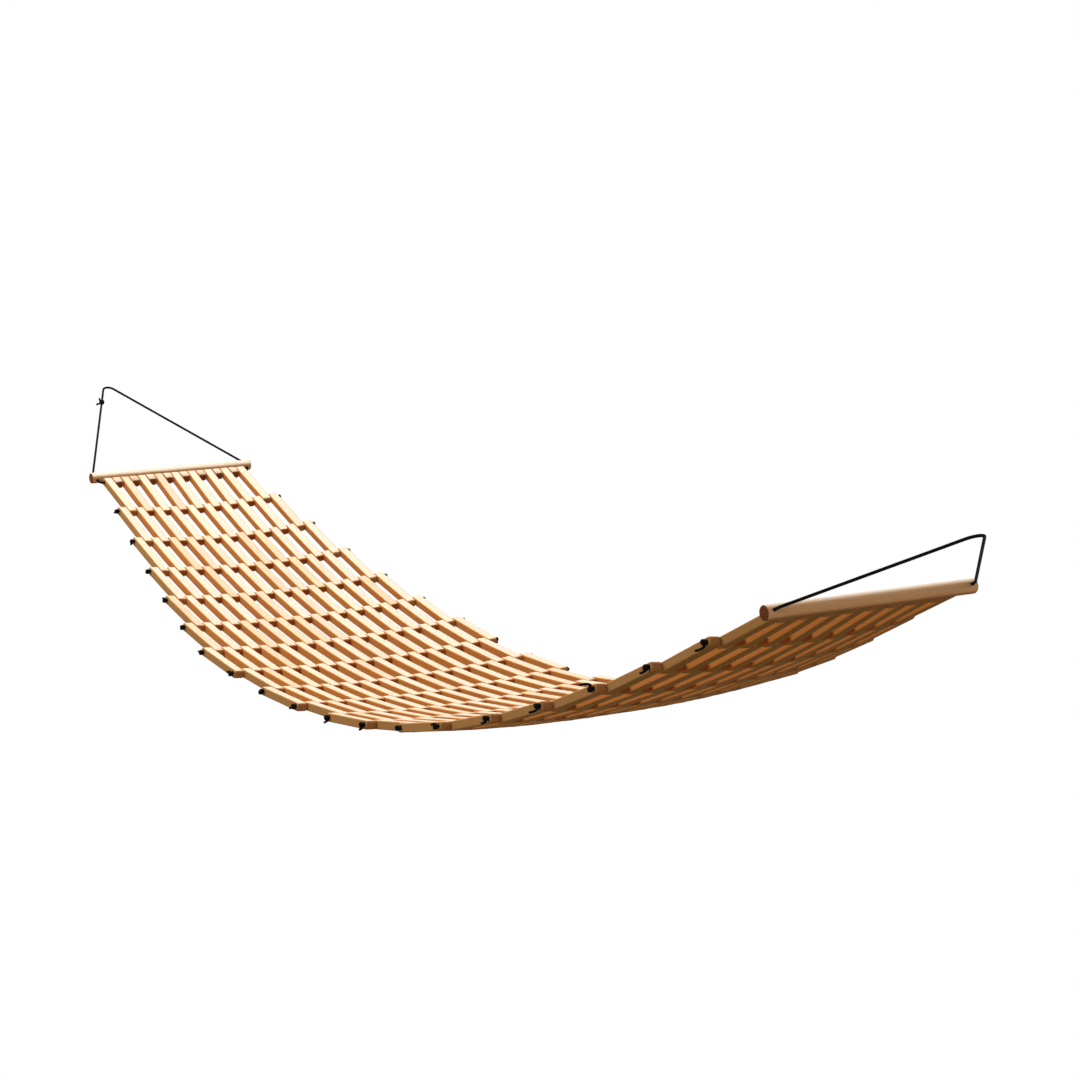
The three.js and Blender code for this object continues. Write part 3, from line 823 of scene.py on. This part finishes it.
def in_steady_order(mesh):
    """The same mesh with its points, the first corner of each face and its faces in order."""
    order = sorted(range(len(mesh.vertices)), key=lambda i: mesh.vertices[i].co[:])
    rank = {old: new for new, old in enumerate(order)}
    faces = []
    for face in mesh.polygons:
        corners = [rank[i] for i in face.vertices]
        lowest = corners.index(min(corners))
        faces.append(corners[lowest:] + corners[:lowest])
    steady = bpy.data.meshes.new(mesh.name)
    steady.from_pydata([mesh.vertices[i].co[:] for i in order], [], sorted(faces))
    return steady


def pole_mesh(name):
    """A dowel along Y with eased ends, and a bore along X near each end."""
    build = bmesh.new()
    profile = [(0, -pole_half), (pole_radius - 2.2 * MM, -pole_half),
               (pole_radius - 0.8 * MM, -pole_half + 0.5 * MM),
               (pole_radius, -pole_half + 2.0 * MM)]
    profile += [(pole_radius, -pole_half + 2 * MM + (2 * pole_half - 4 * MM) * i / 24)
                for i in range(1, 24)]
    profile += [(r, -y) for r, y in profile[3::-1]]
    verts = [build.verts.new((r, y, 0)) for r, y in profile]
    edges = [build.edges.new(pair) for pair in zip(verts, verts[1:])]
    bmesh.ops.spin(build, geom=verts + edges, cent=(0, 0, 0), axis=(0, 1, 0),
                   angle=2 * math.pi, steps=40, use_merge=True)
    bmesh.ops.remove_doubles(build, verts=build.verts, dist=1e-6)
    bmesh.ops.recalc_face_normals(build, faces=build.faces)
    mesh = bpy.data.meshes.new(name)
    build.to_mesh(mesh)
    build.free()
    holder = bpy.data.objects.new(name, mesh)
    bpy.context.scene.collection.objects.link(holder)
    build = bmesh.new()
    for y in (-hole_y, hole_y):
        matrix = Matrix.Translation((0, y, 0)) @ Matrix.Rotation(math.pi / 2, 4, "Y")
        bmesh.ops.create_cone(build, cap_ends=True, segments=20, radius1=pole_bore,
                              radius2=pole_bore, depth=40 * MM, matrix=matrix)
    cutter_mesh = bpy.data.meshes.new("drill")
    build.to_mesh(cutter_mesh)
    build.free()
    cutter = bpy.data.objects.new("drill", cutter_mesh)
    bpy.context.scene.collection.objects.link(cutter)
    cut = holder.modifiers.new("bore", "BOOLEAN")
    cut.operation, cut.solver, cut.object = "DIFFERENCE", "EXACT", cutter
    bpy.context.view_layer.update()
    bored = bpy.data.meshes.new_from_object(
        holder.evaluated_get(bpy.context.evaluated_depsgraph_get()))
    bpy.data.objects.remove(holder)
    bpy.data.objects.remove(cutter)
    return in_steady_order(bored)


pole_shape = pole_mesh("bored_dowel")
print("a pole is", round(2 * pole_half / MM, 1), "mm long")

# %% Lay the poles
for side, tone in (("left", 0.35), ("right", 0.8)):
    matrix = hanger_frames[side] @ Matrix.Translation((pole_offset, 0, 0))
    piece = lay_boards(f"{side}_pole_dowel", pole_shape, [(matrix, tone, 0, 0)], square=False)
    for item in piece.data.attributes["board_place"].data:
        x, y, z = item.vector
        item.vector = (y, x, z)
    to_world = hanger_frames[side].to_3x3()
    for item in piece.data.attributes["board_way"].data:
        way = to_world @ Vector(item.vector)
        item.vector = (way.y, 0.0, way.z)
    piece.data.set_sharp_from_angle(angle=math.radians(50))
    piece.data.materials.append(lit_and_shaded_pole_woods[side])
    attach(piece, f"{side}_hanger")
    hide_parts(f"{side}_pole")
    print(piece.name, len(piece.data.polygons), "faces")

# %% [markdown]
# ## Tie knot of the left rope
#
# The left loop was closed with a knot on its near leg, and its two ends stick out a little.
# The knot is a ring of turns round the leg, made as the stopper knots are, with a second tail.

# %% Make the tie knot
*_, lean, hook_x = ropes["left"]
tie_from_bight, tie_length, tie_turn_radius = 75 * MM, 11 * MM, 4.6 * MM
tie_turns, tie_steps = 1.75, 24
to_pole = Vector((-math.cos(lean), -math.sin(lean), 0))
outwards = Vector((math.sin(lean), -math.cos(lean), 0))
tie_place = Vector((hook_x, 0, 0)) + outwards * rope_sizes["left"][1] + to_pole * tie_from_bight
tie_path = []
for i in range(tie_steps + 1):
    t = i / tie_steps
    angle = 2 * math.pi * tie_turns * t
    ring = outwards * math.cos(angle) + Vector((0, 0, 1)) * math.sin(angle)
    tie_path.append(tie_place + to_pole * (t - 0.5) * tie_length + ring * tie_turn_radius)
head = [tie_path[0] + outwards * 3 * MM - to_pole * 12 * MM,
        tie_path[0] + outwards * 1.5 * MM - to_pole * 5 * MM]
foot = [tie_path[-1] + outwards * 1.5 * MM + to_pole * 6 * MM,
        tie_path[-1] + outwards * 6 * MM + to_pole * 14 * MM,
        tie_path[-1] + outwards * 13 * MM + to_pole * 22 * MM]
tie_points = rounded_path([hanger_frames["left"] @ p for p in head + tie_path + foot], 1.5 * MM)
tie_knot = tube("left_tie_knot", tie_points, 2.7 * MM, sides=10)
tie_knot.data.materials.append(black_cord)
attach(tie_knot, "left_hanger")
print("tie knot at", [round(c, 3) for c in hanger_frames["left"] @ tie_place])

print({side: round(values[2], 4) for side, values in ropes.items()}, "m of free rope")

# %% [markdown]
# ## Floor, light and white background
#
# The plain pale floor lies 3.75 m below the left hook, so that the hammock clears it at every
# joint's limit. One wide soft lamp stands for the sky, high and towards the left hook, so that
# the upper faces are bright and the sides and openings stay deep. A weak one lights the near
# sides from the left, another the right pole from the front, and the world gives the rest, less
# of it from below. The white of the picture is seen only by the camera and in reflections, so it
# adds no light to the wood. The floor takes on more of it with distance, and keeps its shadow
# near the hammock.

# %% The floor, and what only the camera and reflections see
def seen_by_camera(tree):
    """1 for what the camera sees, by itself or in a reflection, and 0 for light on the wood."""
    ray = add(tree, "ShaderNodeLightPath").outputs
    either = add(tree, "ShaderNodeMath", {0: ray["Is Camera Ray"], 1: ray["Is Glossy Ray"]},
                 operation="MAXIMUM")
    return add(tree, "ShaderNodeMath", {0: either.outputs[0], 1: ray["Is Transmission Ray"]},
               operation="MAXIMUM").outputs[0]


floor_depth = 3.75
floor_mesh = bpy.data.meshes.new("floor")
build = bmesh.new()
bmesh.ops.create_grid(build, x_segments=8, y_segments=8, size=60)
build.to_mesh(floor_mesh)
build.free()
floor = bpy.data.objects.new("floor", floor_mesh)
floor.location = (1.93, 0, -floor_depth)
bpy.context.scene.collection.objects.link(floor)
floor_paint, tree = new_material("pale_floor")
away = add(tree, "ShaderNodeVectorMath", {0: add(tree, "ShaderNodeTexCoord").outputs["Object"]},
           operation="LENGTH").outputs["Value"]
far = add(tree, "ShaderNodeMapRange", {0: away, 1: 1.5, 2: 5.0, 3: 0.8, 4: 1.0},
          interpolation_type="SMOOTHSTEP").outputs[0]
share = add(tree, "ShaderNodeMath", {0: seen_by_camera(tree), 1: far}, operation="MULTIPLY")
grain = add(tree, "ShaderNodeTexNoise", {"Scale": 3.0, "Detail": 2.0}).outputs["Fac"]
tint = add(tree, "ShaderNodeValToRGB", {"Fac": grain})
tint.color_ramp.elements[0].color = linear("#d0c19b")
tint.color_ramp.elements[1].color = linear("#d8caa6")
paint = add(tree, "ShaderNodeBsdfDiffuse", {"Color": tint.outputs["Color"]})
white = add(tree, "ShaderNodeEmission", {"Color": (1, 1, 1, 1), "Strength": 1.0})
both = add(tree, "ShaderNodeMixShader", {0: share.outputs[0], 1: paint.outputs[0],
                                         2: white.outputs[0]})
add(tree, "ShaderNodeOutputMaterial", {"Surface": both.outputs[0]})
floor.data.materials.append(floor_paint)
print("floor at", floor.location.z, "m")


# %% The lamps and the world
def lamp(name, place, target, size, power, hex_colour):
    """A round soft lamp: its size is its diameter in metres, its power is in watts."""
    data = bpy.data.lights.new(name, "AREA")
    data.shape, data.size, data.energy = "DISK", size, power
    data.color = linear(hex_colour)[:3]
    item = bpy.data.objects.new(name, data)
    item.location = place
    item.rotation_mode = "QUATERNION"
    item.rotation_quaternion = (Vector(target) - Vector(place)).to_track_quat("-Z", "Y")
    bpy.context.scene.collection.objects.link(item)


lamp("sky lamp", (0.5, -0.2, 4.4), (1.9, 0, -0.35), 2.4, 195, "#fffaf4")
lamp("side lamp", (0.2, -3.0, 2.8), (0.9, 0, -0.3), 2.5, 90, "#fff6ea")
lamp("front lamp", (8.5, 0.5, 2.0), (3.3, 0, -0.3), 3.0, 80, "#fff2e2")
world = bpy.data.worlds.new("daylight")
bpy.context.scene.world = world
world.use_nodes = True
tree = world.node_tree
tree.nodes.clear()
height = add(tree, "ShaderNodeSeparateXYZ",
             {0: add(tree, "ShaderNodeTexCoord").outputs["Generated"]}).outputs["Z"]
sky = add(tree, "ShaderNodeMapRange", {0: height, 1: -0.2, 2: 0.6, 3: 0.02, 4: 0.32}).outputs[0]
dim = add(tree, "ShaderNodeBackground", {"Color": linear("#fbf3e8"), "Strength": sky})
white = add(tree, "ShaderNodeBackground", {"Color": (1, 1, 1, 1), "Strength": 1.0})
both = add(tree, "ShaderNodeMixShader", {0: seen_by_camera(tree), 1: dim.outputs[0],
                                         2: white.outputs[0]})
add(tree, "ShaderNodeOutputWorld", {"Surface": both.outputs[0]})
bpy.context.scene.view_settings.view_transform = "Standard"
